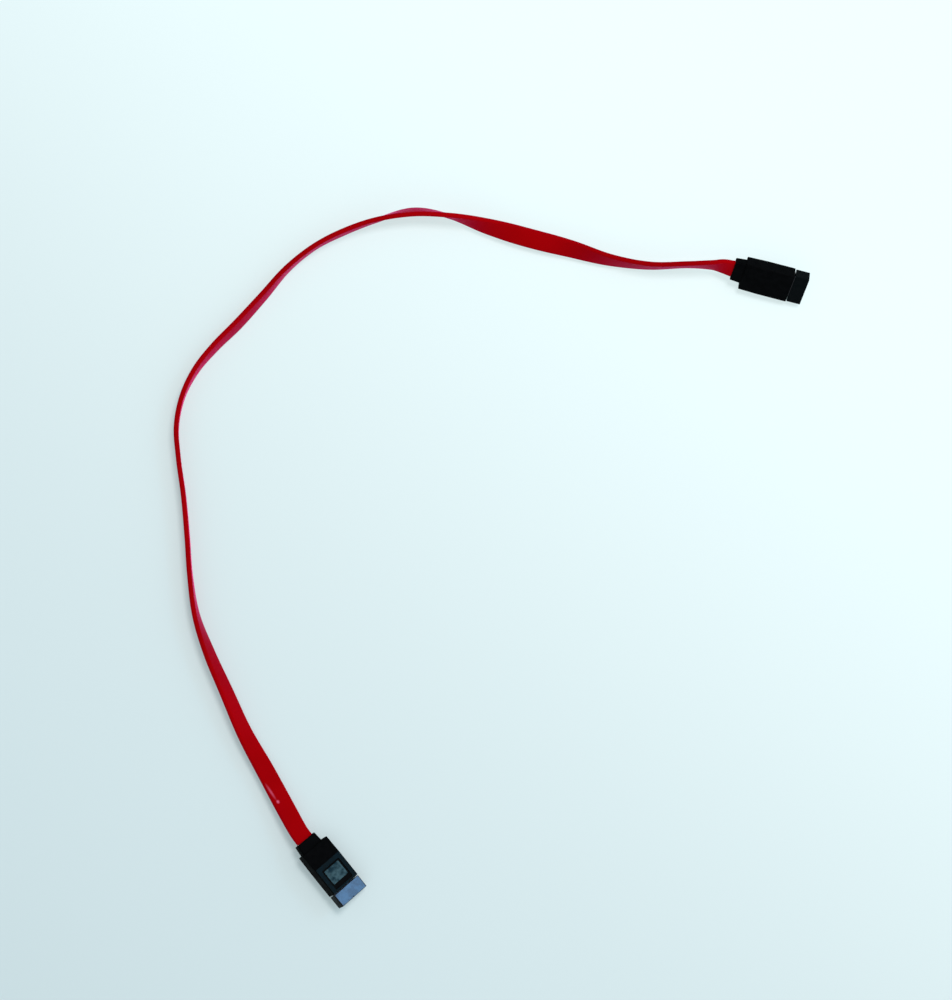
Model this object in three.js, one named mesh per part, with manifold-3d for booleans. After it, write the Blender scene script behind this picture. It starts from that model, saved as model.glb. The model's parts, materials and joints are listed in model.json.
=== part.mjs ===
// A flat data cable lying on a table: a red ribbon with two shielded pairs inside, and a straight
// seven-contact receptacle moulded on each end.
//
// Millimetres, +Z up, standing on z = 0. The origin is under the middle of the two receptacles.
// Each receptacle is built in its own frame: +X points out of its mouth, Y runs across its width and
// +Z points out of its panelled face. x = 0 is the rear of its neck, where the ribbon goes in.

import * as THREE from "three";
import { mergeVertices } from "three/addons/utils/BufferGeometryUtils.js";
import Module from "manifold-3d";

// Ribbon
const RIBBON_WIDTH = 8.0;
const RIBBON_THICKNESS = 2.05;
const RIBBON_EDGE_RADIUS = 0.9;
const RIBBON_STEPS = 78;

// Where the receptacles lie: the rear of the neck, the heading of the mouth, and how far each is
// rolled by the twist of the ribbon. The right one lies with its panelled face down, nose lowest.
const LEFT_AT = [-101.45, -105.65];
const LEFT_HEADING = -51.2;
const LEFT_ROLL = -29;
const LEFT_PITCH = 0;
const RIGHT_AT = [74.3, 128.8];
const RIGHT_HEADING = -14.3;
const RIGHT_ROLL = 226;
const RIGHT_PITCH = 2;

// Contacts and the slot that takes the mating tongue
const CONTACT_COUNT = 7;
const CONTACT_PITCH = 1.27;
const CONTACT_WIDTH = 0.5;
const CONTACT_THICKNESS = 0.22;
const CONTACT_SIDE_CLEARANCE = 0.15;
const CONTACT_FACE_CLEARANCE = 0.12;
const CONTACT_TIP_SETBACK = 0.45;
const CROWN_PROUD = 0.3;
const SPRING_LENGTH = 9.3;
const TAIL_LENGTH = 2.5;
const SLOT_THICKNESS = 1.52;
const SLOT_DEPTH = 5.4;
const SLOT_END_MARGIN = 0.72;
const KEY_RIB = 0.34;
const KEY_WIDTH = 1.48;
const KEY_DROP = 1.1;
const CHANNEL_DEPTH = 1.2;
const CHANNEL_FRONT_LENGTH = 10.3;
const CHANNEL_HEADROOM = 0.38;
const MOUTH_FLARE = 0.18;

// Contact housing: the nose that shows, and the block behind it inside the overmould
const NOSE_LENGTH = 6.1;
const NOSE_ROOF = 1.48;
const NOSE_FLOOR = 0.9;
const NOSE_SIDE_WALL = 1.67;
const NOSE_CORNER = 0.45;
const NOSE_CHAMFER = 0.3;
const NOTCH_WIDTH = 0.9;
const NOTCH_LENGTH = 0.6;
const NOTCH_DEPTH = 0.45;
const BLOCK_HEIGHT = 3.1;
const BLOCK_FLOOR = 0.35;
const BLOCK_SIDE_WALL = 0.7;

// Overmould
const BODY_LENGTH = 20.4;
const BODY_WALL = 0.85;
const BODY_SIDE_WALL = 0.99;
const BODY_CORNER = 0.5;
const BODY_CHAMFER = 0.3;
const BODY_REAR_DROP = 0.4;
const BODY_FLAT_LENGTH = 12.4;
const NECK_LENGTH = 4.4;
const NECK_WALL = 0.65;
const NECK_SIDE_WALL = 0.65;
const NECK_DRAFT = 0.4;
const NECK_CORNER = 0.9;

// Panel on one face of the overmould: a square recess with a pad left standing in it
const PANEL_SIZE = 9.5;
const PANEL_FRONT_MARGIN = 1.0;
const PANEL_DEPTH = 0.4;
const PANEL_CORNER = 0.35;
const PAD_LENGTH = 6.7;
const PAD_WIDTH = 8.0;
const PAD_REAR_GAP = 0.7;
const PAD_SIDE_GAP = 0.6;

// Inside the overmould
const TERMINATION_ROOM = 7.3;
const JACKET_GRIP = 1.8;
const CORE_DIAMETER = 0.9;
const CORE_GAP = 0.18;
const CONDUCTOR_DIAMETER = 0.4;
const STRIPPED_LENGTH = 2.7;
const WIRE_TIP_SETBACK = 0.4;
const WIRE_ON_TAIL_GAP = 0.1;
const CAP_ROOF = 0.45;
const CAP_LEG = 0.6;
const GROUND_WIRES = [1, 4, 7];

// Gaps between pieces that seat on or in each other
const SEAT_GAP = 0.3;
const CAVITY_CLEARANCE = 0.25;
const MERGE_DISTANCE = 1e-4;
const OVERCUT = 1.0;

// Facets: straight steps in a quarter turn of a large or small corner, sides of a round wire, and
// steps along the beam of a contact
const LARGE_CORNER_STEPS = 4;
const SMALL_CORNER_STEPS = 2;
const WIRE_SIDES = 10;
const BEAM_STEPS = 16;

// The beam of a contact: shares of the spring's length, and how much of its rise it has there
const BEAM_SHAPE = [
  [0, 0],
  [0.32, 0.14],
  [0.68, 0.74],
  [0.86, 1],
  [1, 0.45],
];

// The ribbon's middle line from the left receptacle to the right one: x, y, z and the twist in
// degrees. At 0 the ribbon lies flat, at 90 it stands on edge with its outer edge up.
const ROUTE = [
  [-102.15, -105.83, 6.24, 29],
  [-104.5, -102.6, 6.05, 28],
  [-109.8, -93.4, 5.0, 21],
  [-118.2, -78.2, 3.5, 30],
  [-127.0, -62.1, 3.85, 49],
  [-134.5, -45.1, 4.05, 59],
  [-141.7, -28.7, 4.15, 69],
  [-147.0, -13.4, 4.15, 85],
  [-149.5, 3.0, 4.1, 93],
  [-150.7, 19.6, 4.1, 94],
  [-152.2, 36.1, 4.1, 95],
  [-154.3, 51.5, 4.1, 96],
  [-155.1, 64.7, 4.1, 95],
  [-152.5, 77.2, 4.1, 92],
  [-147.0, 88.0, 4.15, 85],
  [-139.3, 97.3, 4.15, 78],
  [-129.8, 106.7, 4.15, 74],
  [-119.5, 118.0, 4.15, 78],
  [-109.1, 129.9, 4.2, 86],
  [-98.0, 138.7, 4.6, 89],
  [-86.6, 144.5, 5.2, 87],
  [-72.5, 149.6, 6.1, 93],
  [-57.1, 152.8, 6.9, 112],
  [-42.0, 151.2, 6.6, 91],
  [-25.7, 146.8, 5.4, 46],
  [-8.9, 142.2, 4.3, 14],
  [7.6, 137.9, 4.7, 37],
  [23.9, 133.2, 5.5, 67],
  [40.4, 130.7, 6.6, 83],
  [56.0, 131.0, 7.7, 87],
  [66.0, 130.8, 8.4, 76],
  [70.29, 130.36, 8.45, 58],
  [74.16, 129.37, 8.31, 46],
];

const wasm = await Module();
wasm.setup();

// Sizes worked out from the ones above

const rowSpan = (CONTACT_COUNT - 1) * CONTACT_PITCH;
const channelWidth = CONTACT_WIDTH + 2 * CONTACT_SIDE_CLEARANCE;
const slotWidth = SLOT_END_MARGIN + rowSpan + channelWidth / 2 + KEY_RIB + KEY_WIDTH;
const rowMiddle = -slotWidth / 2 + SLOT_END_MARGIN + rowSpan / 2;

const noseWidth = slotWidth + 2 * NOSE_SIDE_WALL;
const noseHeight = NOSE_FLOOR + CHANNEL_DEPTH + SLOT_THICKNESS + NOSE_ROOF;
const channelFloor = -noseHeight / 2 + NOSE_FLOOR;
const slotFloor = channelFloor + CHANNEL_DEPTH;
const slotCeiling = slotFloor + SLOT_THICKNESS;

const blockWidth = rowSpan + channelWidth + 2 * BLOCK_SIDE_WALL;
const blockBottom = channelFloor - BLOCK_FLOOR;
const blockTop = blockBottom + BLOCK_HEIGHT;

const bodyFront = NECK_LENGTH + BODY_LENGTH;
const jacketFront = NECK_LENGTH + JACKET_GRIP;
const blockRear = jacketFront + TERMINATION_ROOM;
const noseRear = bodyFront + SEAT_GAP;
const noseFront = bodyFront + NOSE_LENGTH;

const bodyHalfHeight = Math.max(-blockBottom, blockTop) + CAVITY_CLEARANCE + BODY_WALL;
const bodyHalfWidth = Math.abs(rowMiddle) + blockWidth / 2 + CAVITY_CLEARANCE + BODY_SIDE_WALL;

const contactMiddle = channelFloor + CONTACT_FACE_CLEARANCE + CONTACT_THICKNESS / 2;
const contactTop = contactMiddle + CONTACT_THICKNESS / 2;

// Outlines

function roundedRectangle(width, height, radius, cornerSteps) {
  const quarters = [
    [1, 1],
    [-1, 1],
    [-1, -1],
    [1, -1],
  ];
  const points = [];
  quarters.forEach(([sideX, sideY], quarter) => {
    const centreX = sideX * (width / 2 - radius);
    const centreY = sideY * (height / 2 - radius);
    for (let step = 0; step <= cornerSteps; step += 1) {
      const angle = (quarter + step / cornerSteps) * (Math.PI / 2);
      const x = centreX + radius * Math.cos(angle);
      const y = centreY + radius * Math.sin(angle);
      points.push(new THREE.Vector2(x, y));
    }
  });
  return points;
}

// A rectangle given by its limits, in the order left, right, bottom, top.
function rectangle(left, right, bottom, top) {
  return [
    new THREE.Vector2(left, bottom),
    new THREE.Vector2(right, bottom),
    new THREE.Vector2(right, top),
    new THREE.Vector2(left, top),
  ];
}

// The ribbon's section, grown on all sides.
function ribbonSection(grow) {
  return roundedRectangle(
    RIBBON_WIDTH + 2 * grow,
    RIBBON_THICKNESS + 2 * grow,
    RIBBON_EDGE_RADIUS,
    SMALL_CORNER_STEPS,
  );
}

// An outline moved sideways onto the middle of the contact row, which the neck lies in line with.
function onRow(outline) {
  return outline.map((point) => new THREE.Vector2(point.x + rowMiddle, point.y));
}

// The slot of the mouth, grown on all sides: a long bar with a short key leg at one end.
function slotOutline(grow) {
  const left = -slotWidth / 2 - grow;
  const right = slotWidth / 2 + grow;
  const legLeft = slotWidth / 2 - KEY_WIDTH - grow;
  return [
    new THREE.Vector2(left, slotFloor - grow),
    new THREE.Vector2(legLeft, slotFloor - grow),
    new THREE.Vector2(legLeft, slotFloor - KEY_DROP - grow),
    new THREE.Vector2(right, slotFloor - KEY_DROP - grow),
    new THREE.Vector2(right, slotCeiling + grow),
    new THREE.Vector2(left, slotCeiling + grow),
  ];
}

// Solids

// Extrudes a Y-Z outline along X, with an optional chamfer round both ends.
function barAlongX(outline, start, end, chamfer = 0) {
  const geometry = new THREE.ExtrudeGeometry(new THREE.Shape(outline), {
    depth: end - start - 2 * chamfer,
    bevelEnabled: chamfer > 0,
    bevelThickness: chamfer,
    bevelSize: chamfer,
    bevelOffset: -chamfer,
    bevelSegments: 1,
  });
  const basis = new THREE.Matrix4().makeBasis(
    new THREE.Vector3(0, 1, 0),
    new THREE.Vector3(0, 0, 1),
    new THREE.Vector3(1, 0, 0),
  );
  return geometry.applyMatrix4(basis).translate(start + chamfer, 0, 0);
}

// Extrudes an X-Z outline along Y, centred on the given y.
function plateAcrossY(outline, width, middle) {
  const geometry = new THREE.ExtrudeGeometry(new THREE.Shape(outline), {
    depth: width,
    bevelEnabled: false,
  });
  return geometry.rotateX(Math.PI / 2).translate(0, middle + width / 2, 0);
}

// Joins two Y-Z outlines of as many points, one at each x, into a closed tapering solid.
function taperAlongX(rearOutline, rearX, frontOutline, frontX) {
  const count = rearOutline.length;
  const positions = [];
  for (const point of rearOutline) {
    positions.push(rearX, point.x, point.y);
  }
  for (const point of frontOutline) {
    positions.push(frontX, point.x, point.y);
  }
  const index = [];
  for (let near = 0; near < count; near += 1) {
    const next = (near + 1) % count;
    index.push(near, next, count + next);
    index.push(near, count + next, count + near);
  }
  for (const [a, b, c] of THREE.ShapeUtils.triangulateShape(rearOutline, [])) {
    index.push(a, c, b);
    index.push(count + a, count + b, count + c);
  }
  const geometry = new THREE.BufferGeometry();
  geometry.setAttribute("position", new THREE.Float32BufferAttribute(positions, 3));
  geometry.setIndex(index);
  return geometry;
}

function toSolid(geometry) {
  const bare = geometry.clone();
  bare.deleteAttribute("normal");
  bare.deleteAttribute("uv");
  const merged = mergeVertices(bare, MERGE_DISTANCE);
  return new wasm.Manifold(
    new wasm.Mesh({
      numProp: 3,
      vertProperties: new Float32Array(merged.attributes.position.array),
      triVerts: new Uint32Array(merged.index.array),
    }),
  );
}

function toGeometry(solid) {
  const mesh = solid.getMesh();
  const geometry = new THREE.BufferGeometry();
  geometry.setAttribute("position", new THREE.BufferAttribute(mesh.vertProperties, 3));
  geometry.setIndex(new THREE.BufferAttribute(mesh.triVerts, 1));
  geometry.computeVertexNormals();
  return geometry;
}

function cut(solid, cutters) {
  return cutters.reduce((left, cutter) => left.subtract(toSolid(cutter)), solid);
}

// Finishes

const FINISHES = {
  jacketRed: { color: 0xc30f1c, roughness: 0.42, metalness: 0 },
  overmouldBlack: { color: 0x101113, roughness: 0.45, metalness: 0 },
  housingBlack: { color: 0x17191c, roughness: 0.38, metalness: 0 },
  contactGold: { color: 0xcfa651, roughness: 0.3, metalness: 1 },
  coreWhite: { color: 0xe6e3da, roughness: 0.5, metalness: 0 },
  groundTin: { color: 0xb8b6b0, roughness: 0.35, metalness: 1 },
  capNatural: { color: 0xd9d5c8, roughness: 0.6, metalness: 0 },
};

function namedMesh(name, geometry, finish) {
  const mesh = new THREE.Mesh(geometry, new THREE.MeshStandardMaterial(FINISHES[finish]));
  mesh.name = name;
  return mesh;
}

// Pieces of a receptacle

// The y of a contact, counted from 1 at the plain end of the slot.
function contactY(number) {
  return rowMiddle - rowSpan / 2 + (number - 1) * CONTACT_PITCH;
}

// The black cover moulded over the ribbon's end and the housing: a body with a sloping rear half,
// a tapering neck, and a square panel in a groove on one face.
function overmould() {
  const section = roundedRectangle(
    2 * bodyHalfWidth,
    2 * bodyHalfHeight,
    BODY_CORNER,
    LARGE_CORNER_STEPS,
  );
  const bar = toSolid(barAlongX(section, NECK_LENGTH, bodyFront, BODY_CHAMFER));
  const flatStart = bodyFront - BODY_FLAT_LENGTH;
  const rearHalfHeight = bodyHalfHeight - BODY_REAR_DROP;
  const sideOutline = [
    new THREE.Vector2(NECK_LENGTH, -rearHalfHeight),
    new THREE.Vector2(flatStart, -bodyHalfHeight),
    new THREE.Vector2(bodyFront, -bodyHalfHeight),
    new THREE.Vector2(bodyFront, bodyHalfHeight),
    new THREE.Vector2(flatStart, bodyHalfHeight),
    new THREE.Vector2(NECK_LENGTH, rearHalfHeight),
  ];
  const sides = toSolid(plateAcrossY(sideOutline, 2 * bodyHalfWidth + OVERCUT, 0));

  const neckWidth = RIBBON_WIDTH + 2 * (CAVITY_CLEARANCE + NECK_SIDE_WALL);
  const neckHeight = RIBBON_THICKNESS + 2 * (CAVITY_CLEARANCE + NECK_WALL);
  const neckSection = (growth) =>
    onRow(
      roundedRectangle(
        neckWidth + 2 * growth,
        neckHeight + growth,
        NECK_CORNER,
        LARGE_CORNER_STEPS,
      ),
    );
  const neckRear = neckSection(0);
  const neckFront = neckSection(NECK_DRAFT);
  const neck = toSolid(taperAlongX(neckRear, 0, neckFront, NECK_LENGTH + BODY_CHAMFER + SEAT_GAP));

  const cavity = barAlongX(
    rectangle(
      rowMiddle - blockWidth / 2 - CAVITY_CLEARANCE,
      rowMiddle + blockWidth / 2 + CAVITY_CLEARANCE,
      blockBottom - CAVITY_CLEARANCE,
      blockTop + CAVITY_CLEARANCE,
    ),
    jacketFront,
    bodyFront + OVERCUT,
  );
  const ribbonSlot = barAlongX(
    onRow(ribbonSection(CAVITY_CLEARANCE)),
    -OVERCUT,
    jacketFront + CAVITY_CLEARANCE,
  );
  const shell = cut(bar.intersect(sides).add(neck), [cavity, ribbonSlot]);
  return toGeometry(shell.subtract(panelRecess()));
}

// The square recess of the panelled face, less the pad that stands in it.
function panelRecess() {
  const block = (length, width, rear, left) => {
    const outline = roundedRectangle(length, width, PANEL_CORNER, SMALL_CORNER_STEPS);
    const geometry = new THREE.ExtrudeGeometry(new THREE.Shape(outline), {
      depth: PANEL_DEPTH + OVERCUT,
      bevelEnabled: false,
    });
    const bottom = bodyHalfHeight - PANEL_DEPTH;
    return toSolid(geometry.translate(rear + length / 2, left + width / 2, bottom));
  };
  const rear = bodyFront - PANEL_FRONT_MARGIN - PANEL_SIZE;
  const left = -PANEL_SIZE / 2;
  const recess = block(PANEL_SIZE, PANEL_SIZE, rear, left);
  return recess.subtract(block(PAD_LENGTH, PAD_WIDTH, rear + PAD_REAR_GAP, left + PAD_SIDE_GAP));
}

// The moulded housing: a nose with an L-shaped slot, a small notch over its mouth and seven open
// channels below the slot, and a block behind the nose with a passage for each contact.
function contactHousing() {
  const nose = toSolid(
    barAlongX(
      roundedRectangle(noseWidth, noseHeight, NOSE_CORNER, SMALL_CORNER_STEPS),
      noseRear,
      noseFront,
      NOSE_CHAMFER,
    ),
  );
  const block = toSolid(
    barAlongX(
      rectangle(rowMiddle - blockWidth / 2, rowMiddle + blockWidth / 2, blockBottom, blockTop),
      blockRear,
      noseRear + NOSE_CHAMFER + SEAT_GAP,
    ),
  );
  const notch = rectangle(
    rowMiddle - NOTCH_WIDTH / 2,
    rowMiddle + NOTCH_WIDTH / 2,
    noseHeight / 2 - NOTCH_DEPTH,
    noseHeight / 2 + OVERCUT,
  );
  const cutters = [
    barAlongX(slotOutline(0), noseFront - SLOT_DEPTH, noseFront + OVERCUT),
    taperAlongX(
      slotOutline(0),
      noseFront - MOUTH_FLARE,
      slotOutline(2 * MOUTH_FLARE),
      noseFront + MOUTH_FLARE,
    ),
    barAlongX(notch, noseFront - NOTCH_LENGTH, noseFront + OVERCUT),
  ];
  const passageTop = contactTop + CONTACT_FACE_CLEARANCE;
  for (let number = 1; number <= CONTACT_COUNT; number += 1) {
    const left = contactY(number) - channelWidth / 2;
    const right = contactY(number) + channelWidth / 2;
    cutters.push(
      barAlongX(
        rectangle(left, right, channelFloor, slotFloor + CHANNEL_HEADROOM),
        noseFront - CHANNEL_FRONT_LENGTH,
        noseFront + OVERCUT,
      ),
    );
    cutters.push(
      barAlongX(
        rectangle(left, right, channelFloor, passageTop),
        blockRear - OVERCUT,
        noseFront - CHANNEL_FRONT_LENGTH + OVERCUT,
      ),
    );
  }
  return toGeometry(cut(nose.add(block), cutters));
}

// A strip of spring metal: a straight tail and shank, then a beam that rises to a crown and dips.
function contact() {
  const root = noseFront - CONTACT_TIP_SETBACK - SPRING_LENGTH;
  const rise = slotFloor + CROWN_PROUD - CONTACT_THICKNESS / 2 - contactMiddle;
  const beam = new THREE.SplineCurve(
    BEAM_SHAPE.map(
      ([along, up]) => new THREE.Vector2(root + along * SPRING_LENGTH, contactMiddle + up * rise),
    ),
  );
  const middleLine = [
    new THREE.Vector2(blockRear - TAIL_LENGTH, contactMiddle),
    ...beam.getPoints(BEAM_STEPS),
  ];
  const upper = [];
  const lower = [];
  middleLine.forEach((point, at) => {
    const before = middleLine[Math.max(at - 1, 0)];
    const after = middleLine[Math.min(at + 1, middleLine.length - 1)];
    const along = after.clone().sub(before).normalize();
    const normal = new THREE.Vector2(-along.y, along.x).multiplyScalar(CONTACT_THICKNESS / 2);
    upper.push(point.clone().add(normal));
    lower.push(point.clone().sub(normal));
  });
  return plateAcrossY([...lower, ...upper.reverse()], CONTACT_WIDTH, 0);
}

// A wire from the jacket to the tail of its contact. A core has its insulation stripped near the
// tail, and a ground wire is bare.
function addWire(group, name, number) {
  const isGround = GROUND_WIRES.includes(number);
  const fromMiddle = number - (CONTACT_COUNT + 1) / 2;
  const start = new THREE.Vector3(
    jacketFront + SEAT_GAP,
    rowMiddle + fromMiddle * (CORE_DIAMETER + CORE_GAP),
    0,
  );
  const end = new THREE.Vector3(
    blockRear - WIRE_TIP_SETBACK,
    contactY(number),
    contactTop + WIRE_ON_TAIL_GAP + CONDUCTOR_DIAMETER / 2,
  );
  const length = start.distanceTo(end);
  const bare = CONDUCTOR_DIAMETER / 2;
  const thick = isGround ? bare : CORE_DIAMETER / 2;
  const profile = isGround
    ? [new THREE.Vector2(0, 0), new THREE.Vector2(bare, 0), new THREE.Vector2(bare, length)]
    : [
        new THREE.Vector2(0, 0),
        new THREE.Vector2(thick, 0),
        new THREE.Vector2(thick, length - STRIPPED_LENGTH),
        new THREE.Vector2(bare, length - STRIPPED_LENGTH),
        new THREE.Vector2(bare, length),
      ];
  profile.push(new THREE.Vector2(0, length));
  const finish = isGround ? "groundTin" : "coreWhite";
  const mesh = namedMesh(name, new THREE.LatheGeometry(profile, WIRE_SIDES), finish);
  mesh.position.copy(start);
  mesh.quaternion.setFromUnitVectors(
    new THREE.Vector3(0, 1, 0),
    end.clone().sub(start).normalize(),
  );
  group.add(mesh);
}

// The cap over the welded wires, open below.
function terminationCap() {
  const rear = jacketFront + SEAT_GAP;
  const front = blockRear - SEAT_GAP;
  const outer = rectangle(-blockWidth / 2, blockWidth / 2, blockBottom, blockTop);
  const inner = rectangle(
    -blockWidth / 2 + CAP_LEG,
    blockWidth / 2 - CAP_LEG,
    blockBottom - OVERCUT,
    blockTop - CAP_ROOF,
  );
  const cap = toSolid(barAlongX(outer, rear, front));
  return toGeometry(cut(cap, [barAlongX(inner, rear - OVERCUT, front + OVERCUT)]));
}

// The ribbon's end inside the neck.
function jacketEnd() {
  return barAlongX(ribbonSection(0), 0, jacketFront);
}

// One receptacle, turned and then set down on z = 0.
function receptacle(side, at, heading, pitch, roll) {
  const group = new THREE.Group();
  group.add(namedMesh(`${side}_overmould`, overmould(), "overmouldBlack"));
  group.add(namedMesh(`${side}_contact_housing`, contactHousing(), "housingBlack"));
  for (let number = 1; number <= CONTACT_COUNT; number += 1) {
    const strip = namedMesh(`${side}_contact_${number}`, contact(), "contactGold");
    strip.position.y = contactY(number);
    group.add(strip);
    const kind = GROUND_WIRES.includes(number) ? "ground_wire" : "signal_core";
    addWire(group, `${side}_${kind}_${number}`, number);
  }
  const cap = namedMesh(`${side}_termination_cap`, terminationCap(), "capNatural");
  cap.position.y = rowMiddle;
  group.add(cap);
  const jacket = namedMesh(`${side}_jacket_end`, jacketEnd(), "jacketRed");
  jacket.position.y = rowMiddle;
  group.add(jacket);

  group.rotation.set(
    THREE.MathUtils.degToRad(roll),
    THREE.MathUtils.degToRad(pitch),
    THREE.MathUtils.degToRad(heading),
    "ZYX",
  );
  group.updateMatrixWorld(true);
  const lowest = new THREE.Box3().setFromObject(group, true).min.z;
  group.position.set(at[0], at[1], -lowest);
  return group;
}

// The ribbon

// A curve whose frames carry the ribbon's twist, so that an extruded section turns with it.
class TwistedRoute extends THREE.CatmullRomCurve3 {
  constructor(rows) {
    super(rows.map(([x, y, z]) => new THREE.Vector3(x, y, z)));
    this.twist = new THREE.CatmullRomCurve3(
      rows.map(([, , , degrees]) => new THREE.Vector3(THREE.MathUtils.degToRad(degrees), 0, 0)),
      false,
      "catmullrom",
    );
  }

  computeFrenetFrames(segments) {
    const tangents = [];
    const normals = [];
    const binormals = [];
    const up = new THREE.Vector3(0, 0, 1);
    for (let step = 0; step <= segments; step += 1) {
      const t = this.getUtoTmapping(step / segments);
      const tangent = this.getTangent(t);
      const inward = tangent.clone().cross(up).normalize();
      const level = inward.clone().cross(tangent);
      const angle = this.twist.getPoint(t).x;
      const across = level
        .clone()
        .multiplyScalar(Math.sin(angle))
        .addScaledVector(inward, -Math.cos(angle));
      tangents.push(tangent);
      normals.push(across);
      binormals.push(tangent.clone().cross(across));
    }
    return { tangents, normals, binormals };
  }
}

function ribbon() {
  return new THREE.ExtrudeGeometry(new THREE.Shape(ribbonSection(0)), {
    steps: RIBBON_STEPS,
    extrudePath: new TwistedRoute(ROUTE),
  });
}

const dataCable = new THREE.Group();
dataCable.add(namedMesh("ribbon_cable", ribbon(), "jacketRed"));
dataCable.add(receptacle("left", LEFT_AT, LEFT_HEADING, LEFT_PITCH, LEFT_ROLL));
dataCable.add(receptacle("right", RIGHT_AT, RIGHT_HEADING, RIGHT_PITCH, RIGHT_ROLL));

export default dataCable;
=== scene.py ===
"""A flat red data cable with a black seven-contact receptacle on each end, lying on a pale table.

Everything is in metres with +Z up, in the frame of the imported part. The receptacles are modelled in
millimetres in a frame of their own and then placed: +X points out of the mouth, Y runs across the
width and +Z points out of the panelled face, with x = 0 at the rear of the neck.
"""

import json
import math

import bmesh
import bpy
from mathutils import Euler, Matrix, Vector

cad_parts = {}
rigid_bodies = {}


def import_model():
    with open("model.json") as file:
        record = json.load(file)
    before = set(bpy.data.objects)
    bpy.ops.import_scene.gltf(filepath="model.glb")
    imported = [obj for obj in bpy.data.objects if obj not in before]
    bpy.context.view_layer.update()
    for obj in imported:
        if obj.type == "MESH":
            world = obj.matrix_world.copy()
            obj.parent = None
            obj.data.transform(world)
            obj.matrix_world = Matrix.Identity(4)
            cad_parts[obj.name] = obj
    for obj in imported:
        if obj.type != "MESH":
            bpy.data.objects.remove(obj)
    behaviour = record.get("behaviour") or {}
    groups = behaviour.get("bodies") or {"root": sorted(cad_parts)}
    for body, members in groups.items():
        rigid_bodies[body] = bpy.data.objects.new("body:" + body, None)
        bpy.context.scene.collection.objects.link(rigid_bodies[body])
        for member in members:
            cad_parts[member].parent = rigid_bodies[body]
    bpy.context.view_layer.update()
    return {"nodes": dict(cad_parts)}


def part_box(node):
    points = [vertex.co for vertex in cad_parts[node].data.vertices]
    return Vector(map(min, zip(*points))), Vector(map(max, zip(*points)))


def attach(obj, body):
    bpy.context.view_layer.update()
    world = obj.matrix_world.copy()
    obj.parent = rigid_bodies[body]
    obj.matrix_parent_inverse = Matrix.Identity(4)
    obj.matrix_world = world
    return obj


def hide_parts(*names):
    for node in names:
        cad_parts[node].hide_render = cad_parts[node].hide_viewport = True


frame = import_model()

MM = 0.001
BODY = "root"
SIDES = ("left", "right")

# Camera, straight above the table by about a metre; the picture's height and the focal length are in
# pixels
PHOTO_HEIGHT = 1000
FOCAL_PIXELS = 2492.6
SENSOR = 36.0
CAMERA_AT = (-0.03133, 0.03412, 1.034)

# Table: the tones that the camera sees are a painted slope of light from dim to bright, and the shade
# is how much of the lamps' own light and shadow shows at its dim and bright ends
TABLE_HALF = 4.0
TABLE_COLOUR = (0.81, 0.92, 0.92)
TABLE_ROUGHNESS = 0.6
TABLE_SPECULAR = 0.2
TABLE_PAINTED_DIM = (0.24, 0.29, 0.31)
TABLE_PAINTED_BRIGHT = (0.865, 1.0, 1.0)
TABLE_SLOPE = (4.6, 5.6, 0)
TABLE_RANGE = (-2.7, 1.45)
TABLE_SHADE = (0.62, 0.32)

# Lamps
TABLE_MIDDLE = (0, 0, 0)
ALONG_X = (1, 0, 0)
ALONG_Y = (0, 1, 0)
TUBE_AT = (0.28, 0.55, 1.45)
TUBE_SIZE = (0.46, 0.42)
TUBE_POWER = 14.5
TUBE_COLOUR = (1.0, 0.95, 0.965)
WINDOW_AT = (1.0, 0.55, 1.15)
WINDOW_SIZE = (1.2, 1.0)
WINDOW_POWER = 3.0
WINDOW_COLOUR = (1.0, 1.0, 0.98)
SKY_AT = (0.93, 0.55, 1.0)
SKY_TARGET = (-0.09, -0.12, 0.0)
SKY_SIZE = (0.26, 0.23)
SKY_POWER = 1.8
SKY_COLOUR = (0.16, 0.57, 1.0)

# Room: its light falls off towards the zenith and away from its bright side
ROOM_COLOUR = (0.82, 0.98, 1.03)
ROOM_LIGHT = 0.95
ROOM_SEEN = 0.9
ROOM_HEIGHTS = (0.6, 0.93)
ROOM_ZENITH = 0.8
ROOM_BRIGHT_SIDE = (0.5, -0.87, 0)
ROOM_SIDES = (-0.6, 0.7)
ROOM_DARK_SIDE = 0.4

# Finishes: the two tones that slow clouds mix on each, and the tints of reflections
JACKET_RED = ((0.27, 0.0004, 0.001), (0.33, 0.0006, 0.0018))
END_RED = ((0.33, 0.0006, 0.0035), (0.40, 0.0008, 0.005))
BLACK = ((0.0009, 0.001, 0.0012), (0.0018, 0.0019, 0.0022))
# A lighter, teal-tinted black for the panel's pad
PAD_TEAL_BLACK = ((0.005, 0.014, 0.019), (0.045, 0.085, 0.1))
GOLD = ((0.76, 0.53, 0.20), (0.85, 0.62, 0.27))
CORE_WHITE = ((0.74, 0.71, 0.64), (0.82, 0.80, 0.74))
CAP_NATURAL = ((0.68, 0.64, 0.54), (0.76, 0.73, 0.64))
TIN = ((0.42, 0.41, 0.39), (0.52, 0.51, 0.49))
NO_TINT = (1, 1, 1)
CRIMSON = (1.0, 0.02, 0.33)
TEAL = (0.5, 0.9, 1.0)
VIOLET = (1.0, 0.88, 1.0)
CLOUD_SCALE = 420
CLOUD_RANGE = (0.32, 0.68)
STREAK_RANGE = (0.3, 0.7)
SHEEN_WEIGHT = 0.65
SHEEN_ROUGHNESS = 0.35

# A short painted highlight on the jacket near the left receptacle, standing in for a glint: middle,
# heading, size and strength of each of its two marks
GLINT_COLOUR = (0.62, 0.11, 0.2)
PAINTED_GLINTS = (
    ((-0.1159, -0.0863, 0.006), 123.7, (0.0052, 0.0007, 0.004), 0.5),
    ((-0.113, -0.0903, 0.006), 123.7, (0.0011, 0.0008, 0.004), 1.0),
)

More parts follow.
